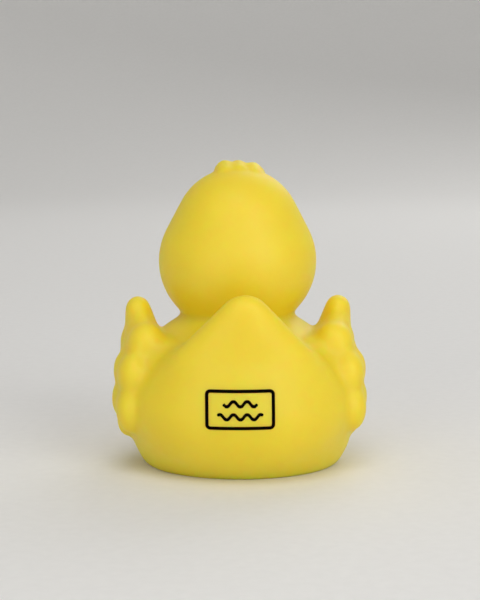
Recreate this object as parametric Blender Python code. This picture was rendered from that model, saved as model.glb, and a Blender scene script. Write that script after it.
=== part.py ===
"""Rubber duck: a bath duck moulded in one piece of soft vinyl.

The duck faces -Y and stands on Z = 0, with the origin under the middle of its length. Its forms are
convex hulls round balls: the head, for instance, is the hull round a cheek ball and a crown ball. A
voxel remesh fuses the forms into one skin, and smoothing rounds the creases between them, as they
are rounded in a moulding tool. The eyes and the bill stand out of the skin and are part of it.

The forms are in millimetres, and finished_duck() turns them to metres. A moulded duck is a sealed
bladder that can't be seen into, so it is one closed solid here, and its record gives its weight.
"""

from math import cos, pi, sin

import bmesh
import bpy
from mathutils import Matrix

MM = 0.001

# The skin
TRUNK_VOXEL = 0.8
TRUNK_SMOOTHING = 10
SKIN_VOXEL = 0.6
SKIN_SMOOTHING = 3
SKIN_TRIANGLES = 9000
FORWARD_TO_MIDDLE = 3.4  # from the forms' own origin to the middle of the duck's length

# The base and its rounded edge: (height, half width, half length) from the bottom up
BASE_RINGS = [(-0.3, 25.4, 23.0), (1.6, 27.0, 25.0), (5.5, 28.9, 27.6)]
BASE_MIDDLE = (-0.8, -1.2)
CUTTER_HALF_SIZE = 0.06


def ball(centre, radii):
    """A ball, or an ellipsoid where radii holds one radius for each axis."""
    if isinstance(radii, (int, float)):
        radii = (radii, radii, radii)
    return centre, radii


def mirrored(balls):
    return [((-x, y, z), radii) for (x, y, z), radii in balls]


BELLY = ball((0, -7, 17), (29.6, 24, 25.1))
RUMP = ball((0, 9, 17), (29.4, 24, 19.6))
TAIL_ROOT = ball((0, 21.5, 31.2), (18.5, 9, 5.5))
TAIL_TIP = ball((0, 26.8, 44.5), (5.6, 3.8, 3.9))
BACK = [ball((20, -4, 28.5), (6, 7, 7)), ball((19, 7, 27), (8, 9, 8))]
FLANK = ball((24, 7.5, 22), (5.5, 10.5, 9))
CHEEKS = ball((-0.1, -8, 53.2), (21.3, 20.5, 19.6))
CROWN = ball((-0.1, -7, 62.0), (17.0, 16.7, 16.4))

# One wing: long feathers along its rear edge, and shorter ones that cover their roots
WING_ROOT = ball((23.5, -12, 24), (5, 6, 8))
FEATHERS = [
    [WING_ROOT, ball((25.6, -4, 33), (4.9, 8, 6.0)), ball((26.8, -3, 40.9), (3.4, 4.8, 3.6))],
    [WING_ROOT, ball((25.0, 0, 32), (5.2, 6, 6.0)), ball((24.7, 7.5, 33.0), (5.0, 5.5, 5.8))],
    [WING_ROOT, ball((27.6, 1, 25), (4.6, 6, 6.2)), ball((27.9, 11, 25.4), (4.4, 5.8, 6.2))],
    [WING_ROOT, ball((28.2, 0, 18), (4.6, 6, 6.2)), ball((28.8, 12.5, 16.8), (3.9, 5.8, 6.3))],
]
COVERTS = [
    [WING_ROOT, ball((27.4, -9, 30), (3.6, 5, 5.0)), ball((29.0, -5, 31.5), (2.7, 4, 5.2))],
    [WING_ROOT, ball((29.0, -5, 25.5), (3.6, 5, 5.0)), ball((30.5, 6, 25.8), (2.9, 4, 5.2))],
    [WING_ROOT, ball((29.6, -5, 19), (3.6, 5, 5.0)), ball((31.0, 5, 18.2), (2.9, 4, 5.2))],
    [WING_ROOT, ball((29.2, -5, 13), (3.4, 5, 4.6)), ball((29.6, 1, 11.8), (3.0, 4, 4.6))],
]

# The solid of the wing, which the feathers stand out of by this much
WING_INSET = 1.3
WING_BODY = [
    (centre, [radius - WING_INSET for radius in radii])
    for feather in FEATHERS + COVERTS
    for centre, radii in feather
]

TUFT = [
    [ball((2.7, -7, 77.2), 2.6), ball((-3.8, -7, 76.8), 2.7), ball((-5.2, -7.5, 75.7), 2.2)],
    [ball((3.0, -5, 76.3), 2.8), ball((3.2, -8, 77.7), 2.6), ball((4.2, -12.5, 77.1), 1.9)],
    [ball((-0.4, -5, 76.5), 2.8), ball((-0.3, -8.5, 77.7), 2.6), ball((-0.8, -14, 77.7), 1.9)],
    [ball((-4.0, -5, 75.7), 2.8), ball((-4.0, -8, 77.2), 2.6), ball((-6.0, -12, 76.3), 1.9)],
]
BILL = [
    [
        ball((0, -24, 51.6), (9.4, 8, 5.6)),
        ball((0, -32, 50.8), (9.0, 4.5, 3.1)),
        ball((0, -36.4, 51.6), (6.6, 3.4, 2.1)),
    ],
    [ball((0, -23, 46.8), (7.6, 7, 3.8)), ball((0, -30.2, 46.2), (6.2, 3.8, 2.5))],
]
EYE = [ball((9.2, -22.4, 61.0), (3.6, 3.2, 4.8)), ball((9.2, -22.5, 61.2), (3.5, 3.1, 4.6))]


def ball_points(centre, radii, rows=28, columns=56):
    points = []
    for row in range(rows + 1):
        latitude = pi * (row / rows - 0.5)
        for column in range(columns):
            longitude = 2 * pi * column / columns
            direction = (
                cos(latitude) * cos(longitude),
                cos(latitude) * sin(longitude),
                sin(latitude),
            )
            points.append([c + r * d for c, r, d in zip(centre, radii, direction)])
    return points


def base_points(columns=96):
    points = []
    for height, half_width, half_length in BASE_RINGS:
        for column in range(columns):
            turn = 2 * pi * column / columns
            x = BASE_MIDDLE[0] + half_width * cos(turn)
            y = BASE_MIDDLE[1] + half_length * sin(turn)
            points.append((x, y, height))
    return points


def add_hull(bm, points):
    """Adds the convex hull round points, as a closed form of its own."""
    hull = bmesh.ops.convex_hull(bm, input=[bm.verts.new(point) for point in points])
    spare = hull["geom_interior"] + hull["geom_unused"]
    spare = list({item for item in spare if isinstance(item, bmesh.types.BMVert)})
    bmesh.ops.delete(bm, geom=spare, context="VERTS")


def add_chain(bm, balls):
    """Adds the hull round each ball and the next."""
    for first, second in zip(balls, balls[1:]):
        add_hull(bm, ball_points(*first) + ball_points(*second))


def add_trunk(bm):
    lowest = BASE_RINGS[0][0]
    body = ball_points(*BELLY) + ball_points(*RUMP)
    add_hull(bm, base_points() + [point for point in body if point[2] > lowest])
    rump = [point for point in ball_points(*RUMP) if point[2] > lowest]
    add_hull(bm, rump + ball_points(*TAIL_ROOT))
    for chain in [[TAIL_ROOT, TAIL_TIP], [CHEEKS, CROWN]]:
        add_chain(bm, chain)
    for chain in [BACK, [BACK[1], FLANK]] + FEATHERS + COVERTS:
        add_chain(bm, chain)
        add_chain(bm, mirrored(chain))
    for wing_body in [WING_BODY, mirrored(WING_BODY)]:
        add_hull(bm, [point for form in wing_body for point in ball_points(*form)])


def add_details(bm):
    for chain in TUFT + BILL + [EYE, mirrored(EYE)]:
        add_chain(bm, chain)


def fused_mesh(name, bm, voxel, smoothing):
    """One smooth skin round all the forms in bm, which it frees."""
    forms = bpy.data.objects.new(name, bpy.data.meshes.new(name))
    bpy.context.scene.collection.objects.link(forms)
    bm.to_mesh(forms.data)
    bm.free()
    remesh = forms.modifiers.new("Fuse the forms", "REMESH")
    remesh.mode = "VOXEL"
    remesh.voxel_size = voxel
    smooth = forms.modifiers.new("Round the creases", "SMOOTH")
    smooth.factor = 0.5
    smooth.iterations = smoothing
    graph = bpy.context.evaluated_depsgraph_get()
    mesh = bpy.data.meshes.new_from_object(forms.evaluated_get(graph))
    bpy.data.objects.remove(forms)
    return mesh


def skin_mesh():
    """The whole outside of the duck, with the base not yet cut flat."""
    trunk = bmesh.new()
    add_trunk(trunk)
    skin = bmesh.new()
    skin.from_mesh(fused_mesh("trunk", trunk, TRUNK_VOXEL, TRUNK_SMOOTHING))
    add_details(skin)
    return fused_mesh("skin", skin, SKIN_VOXEL, SKIN_SMOOTHING)


def vinyl():
    material = bpy.data.materials.new("Yellow vinyl")
    material.use_nodes = True
    shader = material.node_tree.nodes["Principled BSDF"]
    shader.inputs["Base Color"].default_value = (0.86, 0.62, 0.055, 1.0)
    shader.inputs["Roughness"].default_value = 0.48
    shader.inputs["Metallic"].default_value = 0.0
    return material


def below_ground():
    """A block whose top is the ground, to cut the base flat."""
    block = bpy.data.meshes.new("below_ground")
    bm = bmesh.new()
    bmesh.ops.create_cube(bm, size=2 * CUTTER_HALF_SIZE)
    bmesh.ops.translate(bm, vec=(0, 0, -CUTTER_HALF_SIZE), verts=bm.verts)
    bm.to_mesh(block)
    bm.free()
    cutter = bpy.data.objects.new("below_ground", block)
    bpy.context.scene.collection.objects.link(cutter)
    cutter.hide_render = True
    cutter.display_type = "WIRE"
    return cutter


def finished_duck():
    mesh = skin_mesh()
    mesh.transform(Matrix.Scale(MM, 4) @ Matrix.Translation((0, FORWARD_TO_MIDDLE, 0)))
    mesh.materials.append(vinyl())
    mesh.shade_smooth()
    duck = bpy.data.objects.new("duck", mesh)
    bpy.context.scene.collection.objects.link(duck)

    triangles = sum(len(face.vertices) - 2 for face in mesh.polygons)
    thin = duck.modifiers.new("Fewer triangles", "DECIMATE")
    thin.ratio = SKIN_TRIANGLES / triangles
    flatten = duck.modifiers.new("Flat base", "BOOLEAN")
    flatten.operation = "DIFFERENCE"
    flatten.solver = "EXACT"
    flatten.object = below_ground()
    return duck


def clear_scene():
    for obj in list(bpy.data.objects):
        bpy.data.objects.remove(obj)


def build():
    clear_scene()
    finished_duck()


if __name__ == "__main__":
    build()
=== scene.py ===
"""Looks for the rubber duck: its vinyl skin in full detail, its paint and its print.

The skin has the forms that the CAD solid was made from, fused on a finer grid, so it lies where that
solid lies and stands for it. Paint and print are thin closed films that follow the skin: each is the
patch of skin inside an outline, and an outline is a function that is positive inside it.

Like the forms, outlines are in millimetres in the duck's frame, which faces -Y and stands on Z = 0.
"""

from math import cos, hypot, inf, pi, radians, sin, sqrt

import bmesh
import bpy
from mathutils import Matrix, Vector


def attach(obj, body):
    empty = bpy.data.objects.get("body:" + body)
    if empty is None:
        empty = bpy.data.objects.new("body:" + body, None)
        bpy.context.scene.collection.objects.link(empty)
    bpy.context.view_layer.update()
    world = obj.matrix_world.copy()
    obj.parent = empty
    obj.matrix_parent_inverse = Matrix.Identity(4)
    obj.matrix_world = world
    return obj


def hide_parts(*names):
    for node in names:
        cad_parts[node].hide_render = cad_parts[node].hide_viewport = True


MM = 0.001

# The skin: the grids its forms are fused on, and how often each fused skin is smoothed
TRUNK_VOXEL = 0.7
TRUNK_SMOOTHING = 13
SKIN_VOXEL = 0.56
SKIN_SMOOTHING = 4
SMOOTH_FACTOR = 0.5
FORWARD_TO_MIDDLE = 3.4  # from the forms' own origin to the middle of the duck's length

# The base and its rounded edge: (height, half width, half length) from the bottom up
BASE_RINGS = [(-0.3, 25.4, 23.0), (1.6, 27.0, 25.0), (5.5, 28.9, 27.6)]
BASE_MIDDLE = (-0.8, -1.2)

# Films of paint and ink: how far they stand out of the skin, and reach into it
BILL_PAINT = 0.04
EYE_WHITE = 0.05
EYE_BLACK = 0.09
INK = 0.04
FILM_ROOT = 0.05

# How far paint spreads past the form that it covers
BILL_PAINT_SPREAD = 0.5
EYE_WHITE_SPREAD = 0.15

# The pupil's middle and radii, across and up
PUPIL_MIDDLE = (8.6, 60.7)
PUPIL_RADII = (1.75, 2.6)

# The print on the rump: a frame, and ripples inside it
PRINT_X = 1.5
PRINT_Z = 20.2
PRINT_HALF_SIZE = (8.7, 5.0)
PRINT_CORNER = 1.3
PRINT_LINE = 0.84
RIPPLE_LINE = 0.8
RIPPLE_HEIGHT = 0.62
RIPPLE_LENGTH = 3.4
RIPPLES = [(1.45, 4.0), (-1.75, 5.4)]  # height over the print's middle, and half length

# Where each film lies: the lowest and highest corners of a box round it
BILL_BOX = ((-inf, -inf, 40), (inf, -18, 60))
FACE_BOX = ((-inf, -inf, 54), (inf, -15, 68))
RUMP_BOX = ((-11, 15, 9), (11, inf, 27))

# The vinyl: two shades, the range of its roughness, and how light spreads inside it: how much of it
# does, how deep in metres, and the share of that depth for red, green and blue
VINYL_SHADES = ((0.81, 0.635, 0.021), (0.83, 0.665, 0.027))
VINYL_ROUGHNESS = (0.48, 0.56)
VINYL_SUBSURFACE = 0.9
VINYL_LIGHT_DEPTH = 0.010
VINYL_LIGHT_SPREAD = (1.0, 0.26, 0.05)

# Unevenness in the vinyl, in mm: its size across, and the height of its bumps
SHADE_SIZE = 14
SHEEN_SIZE = 2.2
GRAIN_SIZE = 0.35
GRAIN_HEIGHT = 0.012
WAVE_SIZE = 5
WAVE_HEIGHT = 0.05

# The same for paint, and how far its roughness strays either way
PAINT_SHADE_SIZE = 3
PAINT_SHEEN_SIZE = 1.1
PAINT_SHEEN_RANGE = 0.04
PAINT_GRAIN_SIZE = 0.6
PAINT_GRAIN_HEIGHT = 0.008

# Two shades of each paint
BILL_SHADES = ((0.80, 0.20, 0.012), (0.86, 0.24, 0.016))
EYE_WHITE_SHADES = ((0.82, 0.82, 0.80), (0.86, 0.86, 0.84))
EYE_BLACK_SHADES = ((0.010, 0.010, 0.011), (0.016, 0.016, 0.017))
INK_SHADES = ((0.0015, 0.001, 0.0005), (0.0025, 0.002, 0.001))
PAPER_SHADES = ((0.82, 0.81, 0.79), (0.84, 0.83, 0.81))

# The sheen of each finish
BILL_ROUGHNESS = 0.38
EYE_WHITE_ROUGHNESS = 0.30
EYE_BLACK_ROUGHNESS = 0.32
INK_ROUGHNESS = 0.8
INK_SPECULAR = 0.01
PAPER_ROUGHNESS = 0.8
PLASTIC_IOR = 1.5
PLASTIC_SPECULAR = 0.5

# Noise: the layers of detail in a grain, and the range that most of its values lie in
GRAIN_DETAIL = 3
NOISE_LOW = 0.3
NOISE_HIGH = 0.7

# The camera and the studio, in degrees and metres, and the lens in mm
CAMERA_AZIMUTH = 176.7
CAMERA_ELEVATION = 7.5
CAMERA_DISTANCE = 0.443
CAMERA_LENS = 100
CAMERA_TARGET = (-0.0003, 0.0033, 0.0435)
CAMERA_NEAR = 0.02
CAMERA_FAR = 20
LIGHT_TARGET = (0, 0, 0.04)
WORLD_STRENGTH = 0.4
FLOOR_RADIUS = 1.0
FLOOR_SECTORS = 96
WALL_BEND = 0.9
WALL_BEND_STEPS = 24
WALL_HEIGHT = 1.6
WELD_DISTANCE = 1e-5


def ball(centre, radii):
    """A ball, or an ellipsoid where radii holds one radius for each axis."""
    if isinstance(radii, (int, float)):
        radii = (radii, radii, radii)
    return centre, radii


def mirrored(balls):
    return [((-x, y, z), radii) for (x, y, z), radii in balls]


BELLY = ball((0, -7, 17), (29.6, 24, 25.1))
RUMP = ball((0, 9, 17), (29.4, 24, 19.6))
TAIL_ROOT = ball((0, 21.5, 31.2), (18.5, 9, 5.5))
TAIL_TIP = ball((0, 26.8, 44.5), (5.6, 3.8, 3.9))
BACK = [ball((20, -4, 28.5), (6, 7, 7)), ball((19, 7, 27), (8, 9, 8))]
FLANK = ball((24, 7.5, 22), (5.5, 10.5, 9))
CHEEKS = ball((-0.1, -8, 53.2), (21.3, 20.5, 19.6))
CROWN = ball((-0.1, -7, 62.0), (17.0, 16.7, 16.4))

# One wing: long feathers along its rear edge, and shorter ones that cover their roots
WING_ROOT = ball((23.5, -12, 24), (5, 6, 8))
FEATHERS = [
    [WING_ROOT, ball((25.6, -4, 33), (4.9, 8, 6.0)), ball((26.8, -3, 40.9), (3.4, 4.8, 3.6))],
    [WING_ROOT, ball((25.0, 0, 32), (5.2, 6, 6.0)), ball((24.7, 7.5, 33.0), (5.0, 5.5, 5.8))],
    [WING_ROOT, ball((27.6, 1, 25), (4.6, 6, 6.2)), ball((27.9, 11, 25.4), (4.4, 5.8, 6.2))],
    [WING_ROOT, ball((28.2, 0, 18), (4.6, 6, 6.2)), ball((28.8, 12.5, 16.8), (3.9, 5.8, 6.3))],
]
COVERTS = [
    [WING_ROOT, ball((27.4, -9, 30), (3.6, 5, 5.0)), ball((29.0, -5, 31.5), (2.7, 4, 5.2))],
    [WING_ROOT, ball((29.0, -5, 25.5), (3.6, 5, 5.0)), ball((30.5, 6, 25.8), (2.9, 4, 5.2))],
    [WING_ROOT, ball((29.6, -5, 19), (3.6, 5, 5.0)), ball((31.0, 5, 18.2), (2.9, 4, 5.2))],
    [WING_ROOT, ball((29.2, -5, 13), (3.4, 5, 4.6)), ball((29.6, 1, 11.8), (3.0, 4, 4.6))],
]

# The solid of the wing, which the feathers stand out of by this much
WING_INSET = 1.3
WING_BODY = [
    (centre, [radius - WING_INSET for radius in radii])
    for feather in FEATHERS + COVERTS
    for centre, radii in feather
]

TUFT = [
    [ball((2.7, -7, 77.2), 2.6), ball((-3.8, -7, 76.8), 2.7), ball((-5.2, -7.5, 75.7), 2.2)],
    [ball((3.0, -5, 76.3), 2.8), ball((3.2, -8, 77.7), 2.6), ball((4.2, -12.5, 77.1), 1.9)],
    [ball((-0.4, -5, 76.5), 2.8), ball((-0.3, -8.5, 77.7), 2.6), ball((-0.8, -14, 77.7), 1.9)],
    [ball((-4.0, -5, 75.7), 2.8), ball((-4.0, -8, 77.2), 2.6), ball((-6.0, -12, 76.3), 1.9)],
]
BILL = [
    [
        ball((0, -24, 51.6), (9.4, 8, 5.6)),
        ball((0, -32, 50.8), (9.0, 4.5, 3.1)),
        ball((0, -36.4, 51.6), (6.6, 3.4, 2.1)),
    ],
    [ball((0, -23, 46.8), (7.6, 7, 3.8)), ball((0, -30.2, 46.2), (6.2, 3.8, 2.5))],
]
EYE = [ball((9.2, -22.4, 61.0), (3.6, 3.2, 4.8)), ball((9.2, -22.5, 61.2), (3.5, 3.1, 4.6))]


def ball_points(centre, radii, rows=36, columns=72):
    points = []
    for row in range(rows + 1):
        latitude = pi * (row / rows - 0.5)
        for column in range(columns):
            longitude = 2 * pi * column / columns
            direction = (
                cos(latitude) * cos(longitude),
                cos(latitude) * sin(longitude),
                sin(latitude),
            )
            points.append([c + r * d for c, r, d in zip(centre, radii, direction)])
    return points


def base_points(columns=144):
    points = []
    for height, half_width, half_length in BASE_RINGS:
        for column in range(columns):
            turn = 2 * pi * column / columns
            x = BASE_MIDDLE[0] + half_width * cos(turn)
            y = BASE_MIDDLE[1] + half_length * sin(turn)
            points.append((x, y, height))
    return points


def add_hull(bm, points):
    """Adds the convex hull round points, as a closed form of its own."""
    hull = bmesh.ops.convex_hull(bm, input=[bm.verts.new(point) for point in points])
    spare = hull["geom_interior"] + hull["geom_unused"]
    spare = list({item for item in spare if isinstance(item, bmesh.types.BMVert)})
    bmesh.ops.delete(bm, geom=spare, context="VERTS")


def add_chain(bm, balls):
    """Adds the hull round each ball and the next."""
    for first, second in zip(balls, balls[1:]):
        add_hull(bm, ball_points(*first) + ball_points(*second))


def add_trunk(bm):
    """Adds all the forms but the small ones that stand out of the skin."""
    lowest = BASE_RINGS[0][0]
    body = ball_points(*BELLY) + ball_points(*RUMP)
    add_hull(bm, base_points() + [point for point in body if point[2] > lowest])
    rump = [point for point in ball_points(*RUMP) if point[2] > lowest]
    add_hull(bm, rump + ball_points(*TAIL_ROOT))
    for chain in [[TAIL_ROOT, TAIL_TIP], [CHEEKS, CROWN]]:
        add_chain(bm, chain)
    for chain in [BACK, [BACK[1], FLANK]] + FEATHERS + COVERTS:
        add_chain(bm, chain)
        add_chain(bm, mirrored(chain))
    for wing_body in [WING_BODY, mirrored(WING_BODY)]:
        add_hull(bm, [point for form in wing_body for point in ball_points(*form)])


def add_details(bm):
    """Adds the tuft, the bill and the eyes."""
    for chain in TUFT + BILL + [EYE, mirrored(EYE)]:
        add_chain(bm, chain)


def fused_mesh(name, bm, voxel, smoothing):
    """One smooth skin round all the forms in bm, which it frees."""
    forms = bpy.data.objects.new(name, bpy.data.meshes.new(name))
    bpy.context.scene.collection.objects.link(forms)
    bm.to_mesh(forms.data)
    bm.free()
    remesh = forms.modifiers.new("Fuse the forms", "REMESH")
    remesh.mode = "VOXEL"
    remesh.voxel_size = voxel
    smooth = forms.modifiers.new("Round the creases", "SMOOTH")
    smooth.factor = SMOOTH_FACTOR
    smooth.iterations = smoothing
    graph = bpy.context.evaluated_depsgraph_get()
    mesh = bpy.data.meshes.new_from_object(forms.evaluated_get(graph))
    bpy.data.objects.remove(forms)
    return mesh


def cut_base_flat(mesh):
    """Cuts off what lies below the ground, and closes the skin there."""
    bm = bmesh.new()
    bm.from_mesh(mesh)
    everything = bm.verts[:] + bm.edges[:] + bm.faces[:]
    down = (0, 0, -1)
    bmesh.ops.bisect_plane(bm, geom=everything, plane_co=(0, 0, 0), plane_no=down, clear_outer=True)
    rim = [edge for edge in bm.edges if edge.is_boundary]
    bmesh.ops.contextual_create(bm, geom=rim)
    bmesh.ops.recalc_face_normals(bm, faces=bm.faces)
    bm.to_mesh(mesh)
    bm.free()


def skin_mesh():
    """The whole outside of the duck."""
    trunk = bmesh.new()
    add_trunk(trunk)
    skin = bmesh.new()
    skin.from_mesh(fused_mesh("trunk", trunk, TRUNK_VOXEL, TRUNK_SMOOTHING))
    add_details(skin)
    mesh = fused_mesh("skin", skin, SKIN_VOXEL, SKIN_SMOOTHING)
    cut_base_flat(mesh)
    return mesh


# Outlines


def inside_ball(point, centre, radii, growth):
    """Positive inside a ball grown by growth, and in rough millimetres near its surface."""
    grown = [r + growth for r in radii]
    return (1 - hypot(*((p - c) / r for p, c, r in zip(point, centre, grown)))) * min(grown)


def inside_chain(point, balls, growth, steps=8):
    """Positive inside the forms of a chain, from the balls between each ball and the next."""
    best = -inf
    for (centre_a, radii_a), (centre_b, radii_b) in zip(balls, balls[1:]):
        for step in range(steps + 1):
            share = step / steps
            centre = [a + (b - a) * share for a, b in zip(centre_a, centre_b)]
            radii = [a + (b - a) * share for a, b in zip(radii_a, radii_b)]
            best = max(best, inside_ball(point, centre, radii, growth))
    return best


def in_bill(point):
    return max(inside_chain(point, chain, BILL_PAINT_SPREAD) for chain in BILL)


def in_eye(point):
    eye = EYE if point[0] > 0 else mirrored(EYE)
    return inside_ball(point, *eye[1], EYE_WHITE_SPREAD)


def in_pupil(point):
    (x, z), (radius_x, radius_z) = PUPIL_MIDDLE, PUPIL_RADII
    return (1 - hypot((abs(point[0]) - x) / radius_x, (point[2] - z) / radius_z)) * radius_x


def in_rounded_box(x, z, half_width, half_height, corner):
    """How far (x, z) is inside a box with round corners that has its middle at (0, 0)."""
    across = abs(x) - half_width + corner
    up = abs(z) - half_height + corner
    outside = hypot(max(across, 0), max(up, 0))
    return corner - outside - min(max(across, up), 0)


def in_frame_outside(point):
    x, z = point[0] - PRINT_X, point[2] - PRINT_Z
    return in_rounded_box(x, z, *PRINT_HALF_SIZE, PRINT_CORNER)


def in_frame(point):
    inward = in_frame_outside(point)
    return min(inward, PRINT_LINE - inward)


def in_ripples(point):
    """Inside a wavy line with round ends, at the height of each ripple."""
    x, z = point[0] - PRINT_X, point[2] - PRINT_Z
    best = -inf
    for height, half_length in RIPPLES:
        along = max(-half_length, min(half_length, x))
        turn = 2 * pi * along / RIPPLE_LENGTH
        slope = 2 * pi * RIPPLE_HEIGHT / RIPPLE_LENGTH * sin(turn)
        off_line = z - height + RIPPLE_HEIGHT * cos(turn)
        if x == along:
            off_line /= sqrt(1 + slope * slope)
        best = max(best, RIPPLE_LINE / 2 - hypot(off_line, x - along))
    return best


# Films


def cut_along(bm, outline):
    """Cuts the faces of bm along an outline, and deletes what lies outside it."""
    level = bm.verts.layers.float.new("level")
    for vert in bm.verts:
        vert[level] = outline(vert.co)
    crossed = {}
    for edge in bm.edges:
        first, second = (vert[level] for vert in edge.verts)
        if first * second < 0:
            crossed[edge] = first / (first - second)
    split = bmesh.ops.bisect_edges(bm, edges=list(crossed), cuts=1, edge_percents=crossed)
    on_outline = [item for item in split["geom_split"] if isinstance(item, bmesh.types.BMVert)]
    bmesh.ops.connect_verts(bm, verts=on_outline)
    outside = [face for face in bm.faces if sum(vert[level] for vert in face.verts) < 0]
    bmesh.ops.delete(bm, geom=outside, context="FACES")
    loose = [vert for vert in bm.verts if not vert.link_faces]
    bmesh.ops.delete(bm, geom=loose, context="VERTS")


def thickened(name, bm, above, below):
    """A closed mesh from a patch of skin: its top above the skin, its underside below, and a rim."""
    bm.normal_update()
    bm.verts.index_update()
    count = len(bm.verts)
    top = [vert.co + vert.normal * above for vert in bm.verts]
    underside = [vert.co - vert.normal * below for vert in bm.verts]
    faces = [[vert.index for vert in face.verts] for face in bm.faces]
    flipped = [[index + count for index in reversed(face)] for face in faces]
    rim = []
    for face in bm.faces:
        for loop in face.loops:
            if loop.edge.is_boundary:
                start, end = loop.vert.index, loop.link_loop_next.vert.index
                rim.append((end, start, start + count, end + count))
    mesh = bpy.data.meshes.new(name)
    mesh.from_pydata(top + underside, [], faces + flipped + rim)
    for polygon in mesh.polygons:
        polygon.use_smooth = polygon.index < 2 * len(faces)
    return mesh


def in_box(point, lowest, highest):
    return all(low < value < high for low, value, high in zip(lowest, point, highest))


def film(name, skin, outline, box, thickness, material, cuts):
    """A thin closed film on the skin, inside an outline that lies in a box.

    cuts is how often each edge of the skin is cut first, so that a thin line has enough points.
    """
    bm = bmesh.new()
    bm.from_mesh(skin)
    far = [vert for vert in bm.verts if not in_box(vert.co, *box)]
    bmesh.ops.delete(bm, geom=far, context="VERTS")
    if cuts:
        bmesh.ops.subdivide_edges(bm, edges=bm.edges, cuts=cuts, use_grid_fill=True)
    cut_along(bm, outline)
    mesh = thickened(name, bm, thickness, FILM_ROOT)
    bm.free()
    return piece(name, mesh, material)


def piece(name, mesh, material):
    """Puts a mesh in millimetres into the scene, in metres, riding on the duck."""
    mesh.transform(Matrix.Scale(MM, 4) @ Matrix.Translation((0, FORWARD_TO_MIDDLE, 0)))
    mesh.materials.clear()
    mesh.materials.append(material)
    made = bpy.data.objects.new(name, mesh)
    bpy.context.scene.collection.objects.link(made)
    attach(made, "root")
    return made


# Materials


class Shader:
    """A Principled material, and short calls to add the nodes that feed it."""

    def __init__(self, name):
        self.material = bpy.data.materials.new(name)
        self.material.use_nodes = True
        self.tree = self.material.node_tree
        self.principled = self.tree.nodes["Principled BSDF"]
        self.place = self.tree.nodes.new("ShaderNodeTexCoord").outputs["Object"]

    def set(self, **values):
        """Sets sockets by name, with _ for a space."""
        for socket, value in values.items():
            self.principled.inputs[socket.replace("_", " ")].default_value = value

    def link(self, source, socket):
        self.tree.links.new(source, socket)

    def noise(self, size_mm, detail=2):
        """Noise whose blobs are about size_mm across, from 0 to 1."""
        node = self.tree.nodes.new("ShaderNodeTexNoise")
        node.inputs["Scale"].default_value = 1 / (size_mm * MM)
        node.inputs["Detail"].default_value = detail
        self.link(self.place, node.inputs["Vector"])
        return node.outputs["Fac"]

    def spread(self, source, low, high):
        """Noise, with the range from NOISE_LOW to NOISE_HIGH mapped to low to high."""
        node = self.tree.nodes.new("ShaderNodeMapRange")
        node.inputs["From Min"].default_value = NOISE_LOW
        node.inputs["From Max"].default_value = NOISE_HIGH
        node.inputs["To Min"].default_value = low
        node.inputs["To Max"].default_value = high
        self.link(source, node.inputs["Value"])
        return node.outputs["Result"]

    def colours(self, source, low, high):
        """A base colour between two shades."""
        node = self.tree.nodes.new("ShaderNodeMix")
        node.data_type = "RGBA"
        node.inputs["A"].default_value = (*low, 1)
        node.inputs["B"].default_value = (*high, 1)
        self.link(self.spread(source, 0, 1), node.inputs["Factor"])
        self.link(node.outputs["Result"], self.principled.inputs["Base Color"])

    def roughness(self, source, low, high):
        self.link(self.spread(source, low, high), self.principled.inputs["Roughness"])

    def bumps(self, *layers):
        """Each layer is (source, height in mm)."""
        normal = None
        for source, height_mm in layers:
            node = self.tree.nodes.new("ShaderNodeBump")
            node.inputs["Distance"].default_value = height_mm * MM
            self.link(source, node.inputs["Height"])
            if normal is not None:
                self.link(normal, node.inputs["Normal"])
            normal = node.outputs["Normal"]
        self.link(normal, self.principled.inputs["Normal"])


def vinyl():
    """Soft vinyl, which light shines a little way into, with the faint grain of its mould."""
    shader = Shader("Yellow vinyl")
    shader.colours(shader.noise(SHADE_SIZE), *VINYL_SHADES)
    shader.roughness(shader.noise(SHEEN_SIZE), *VINYL_ROUGHNESS)
    grain = shader.noise(GRAIN_SIZE, GRAIN_DETAIL)
    shader.bumps((grain, GRAIN_HEIGHT), (shader.noise(WAVE_SIZE), WAVE_HEIGHT))
    shader.set(IOR=PLASTIC_IOR, Specular_IOR_Level=PLASTIC_SPECULAR)
    shader.set(Subsurface_Weight=VINYL_SUBSURFACE, Subsurface_Scale=VINYL_LIGHT_DEPTH)
    shader.set(Subsurface_Radius=VINYL_LIGHT_SPREAD)
    return shader.material


def paint(name, shades, roughness, specular=PLASTIC_SPECULAR):
    """Brushed-on paint: two shades of a colour, and the faint unevenness of a thin coat."""
    shader = Shader(name)
    shader.colours(shader.noise(PAINT_SHADE_SIZE), *shades)
    low, high = roughness - PAINT_SHEEN_RANGE, roughness + PAINT_SHEEN_RANGE
    shader.roughness(shader.noise(PAINT_SHEEN_SIZE), low, high)
    shader.bumps((shader.noise(PAINT_GRAIN_SIZE, GRAIN_DETAIL), PAINT_GRAIN_HEIGHT))
    shader.set(IOR=PLASTIC_IOR, Specular_IOR_Level=specular)
    return shader.material


# The studio


def facing(azimuth, elevation):
    """The direction from the duck to a viewer at that azimuth and elevation, in degrees."""
    a, e = radians(azimuth), radians(elevation)
    return Vector((sin(a) * cos(e), -cos(a) * cos(e), sin(e)))


def aim(obj, target):
    """Turns a camera or a light towards a point."""
    obj.rotation_euler = (Vector(target) - obj.location).to_track_quat("-Z", "Y").to_euler()


def add_camera(target):
    data = bpy.data.cameras.new("Camera")
    data.lens = CAMERA_LENS
    data.clip_start = CAMERA_NEAR
    data.clip_end = CAMERA_FAR
    camera = bpy.data.objects.new("Camera", data)
    camera.location = target + facing(CAMERA_AZIMUTH, CAMERA_ELEVATION) * CAMERA_DISTANCE
    bpy.context.scene.collection.objects.link(camera)
    aim(camera, target)
    bpy.context.scene.camera = camera


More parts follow.
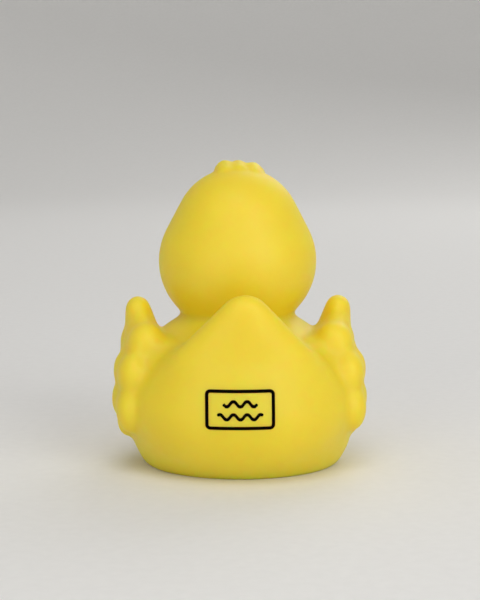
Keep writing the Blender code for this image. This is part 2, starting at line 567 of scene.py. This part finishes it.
def add_softbox(name, azimuth, elevation, distance, size, power):
    data = bpy.data.lights.new(name, "AREA")
    data.shape = "DISK"
    data.size = size
    data.energy = power
    light = bpy.data.objects.new(name, data)
    light.location = facing(azimuth, elevation) * distance
    bpy.context.scene.collection.objects.link(light)
    aim(light, LIGHT_TARGET)


def add_backdrop():
    """A round floor that curves up into a wall all the way round, so no horizon shows."""
    profile = [(0, 0), (FLOOR_RADIUS, 0)]
    for step in range(1, WALL_BEND_STEPS + 1):
        turn = step / WALL_BEND_STEPS * pi / 2
        profile.append((FLOOR_RADIUS + WALL_BEND * sin(turn), WALL_BEND * (1 - cos(turn))))
    profile.append((FLOOR_RADIUS + WALL_BEND, WALL_HEIGHT))
    bm = bmesh.new()
    verts = [bm.verts.new((radius, 0, height)) for radius, height in profile]
    edges = [bm.edges.new(pair) for pair in zip(verts, verts[1:])]
    around = {"cent": (0, 0, 0), "axis": (0, 0, 1), "angle": 2 * pi}
    bmesh.ops.spin(bm, geom=verts + edges, steps=FLOOR_SECTORS, **around)
    bmesh.ops.remove_doubles(bm, verts=bm.verts, dist=WELD_DISTANCE)
    mesh = bpy.data.meshes.new("backdrop")
    bm.to_mesh(mesh)
    bm.free()
    mesh.shade_smooth()
    backdrop = bpy.data.objects.new("backdrop", mesh)
    bpy.context.scene.collection.objects.link(backdrop)
    mesh.materials.append(paint("Backdrop paper", PAPER_SHADES, PAPER_ROUGHNESS))


def add_studio():
    """A pale backdrop in even white light, and soft lights from behind, above and in front."""
    add_backdrop()
    world = bpy.data.worlds.new("Studio")
    world.use_nodes = True
    background = world.node_tree.nodes["Background"]
    background.inputs["Color"].default_value = (1, 1, 1, 1)
    background.inputs["Strength"].default_value = WORLD_STRENGTH
    bpy.context.scene.world = world

    add_softbox("Key", azimuth=212, elevation=24, distance=1.2, size=0.8, power=5.0)
    add_softbox("Fill", azimuth=150, elevation=15, distance=1.2, size=0.5, power=1.9)
    add_softbox("Top", azimuth=172, elevation=62, distance=1.2, size=0.7, power=2.9)
    add_softbox("Front", azimuth=-25, elevation=35, distance=1.2, size=0.8, power=2.6)


def add_duck():
    skin = skin_mesh()
    orange = paint("Bill paint", BILL_SHADES, BILL_ROUGHNESS)
    white = paint("Eye white paint", EYE_WHITE_SHADES, EYE_WHITE_ROUGHNESS)
    black = paint("Black paint", EYE_BLACK_SHADES, EYE_BLACK_ROUGHNESS)
    ink = paint("Black ink", INK_SHADES, INK_ROUGHNESS, INK_SPECULAR)
    # Name, outline, box, how far it stands out, material, cuts, slot
    films = [
        ("bill_paint", in_bill, BILL_BOX, BILL_PAINT, orange, 0, "bill_paint"),
        ("eye_whites", in_eye, FACE_BOX, EYE_WHITE, white, 1, "eye_white_paint"),
        ("eye_pupils", in_pupil, FACE_BOX, EYE_BLACK, black, 1, "black_paint"),
        ("print_frame", in_frame, RUMP_BOX, INK, ink, 2, "black_paint"),
        ("print_ripples", in_ripples, RUMP_BOX, INK, ink, 2, "black_paint"),
    ]
    for name, outline, box, thickness, material, cuts, slot in films:
        film(name, skin, outline, box, thickness, material, cuts)
    skin.shade_smooth()
    duck = piece("duck_skin", skin, vinyl())
    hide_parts("duck")


def build():
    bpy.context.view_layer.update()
    add_duck()
    add_studio()
    add_camera(Vector(CAMERA_TARGET))
    bpy.context.scene.view_settings.view_transform = "Standard"


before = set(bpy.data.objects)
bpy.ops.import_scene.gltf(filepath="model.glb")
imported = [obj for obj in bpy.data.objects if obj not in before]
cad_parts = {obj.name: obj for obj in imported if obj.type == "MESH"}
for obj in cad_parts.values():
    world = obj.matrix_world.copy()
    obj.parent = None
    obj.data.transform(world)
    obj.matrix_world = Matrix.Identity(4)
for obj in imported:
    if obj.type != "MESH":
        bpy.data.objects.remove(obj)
build()
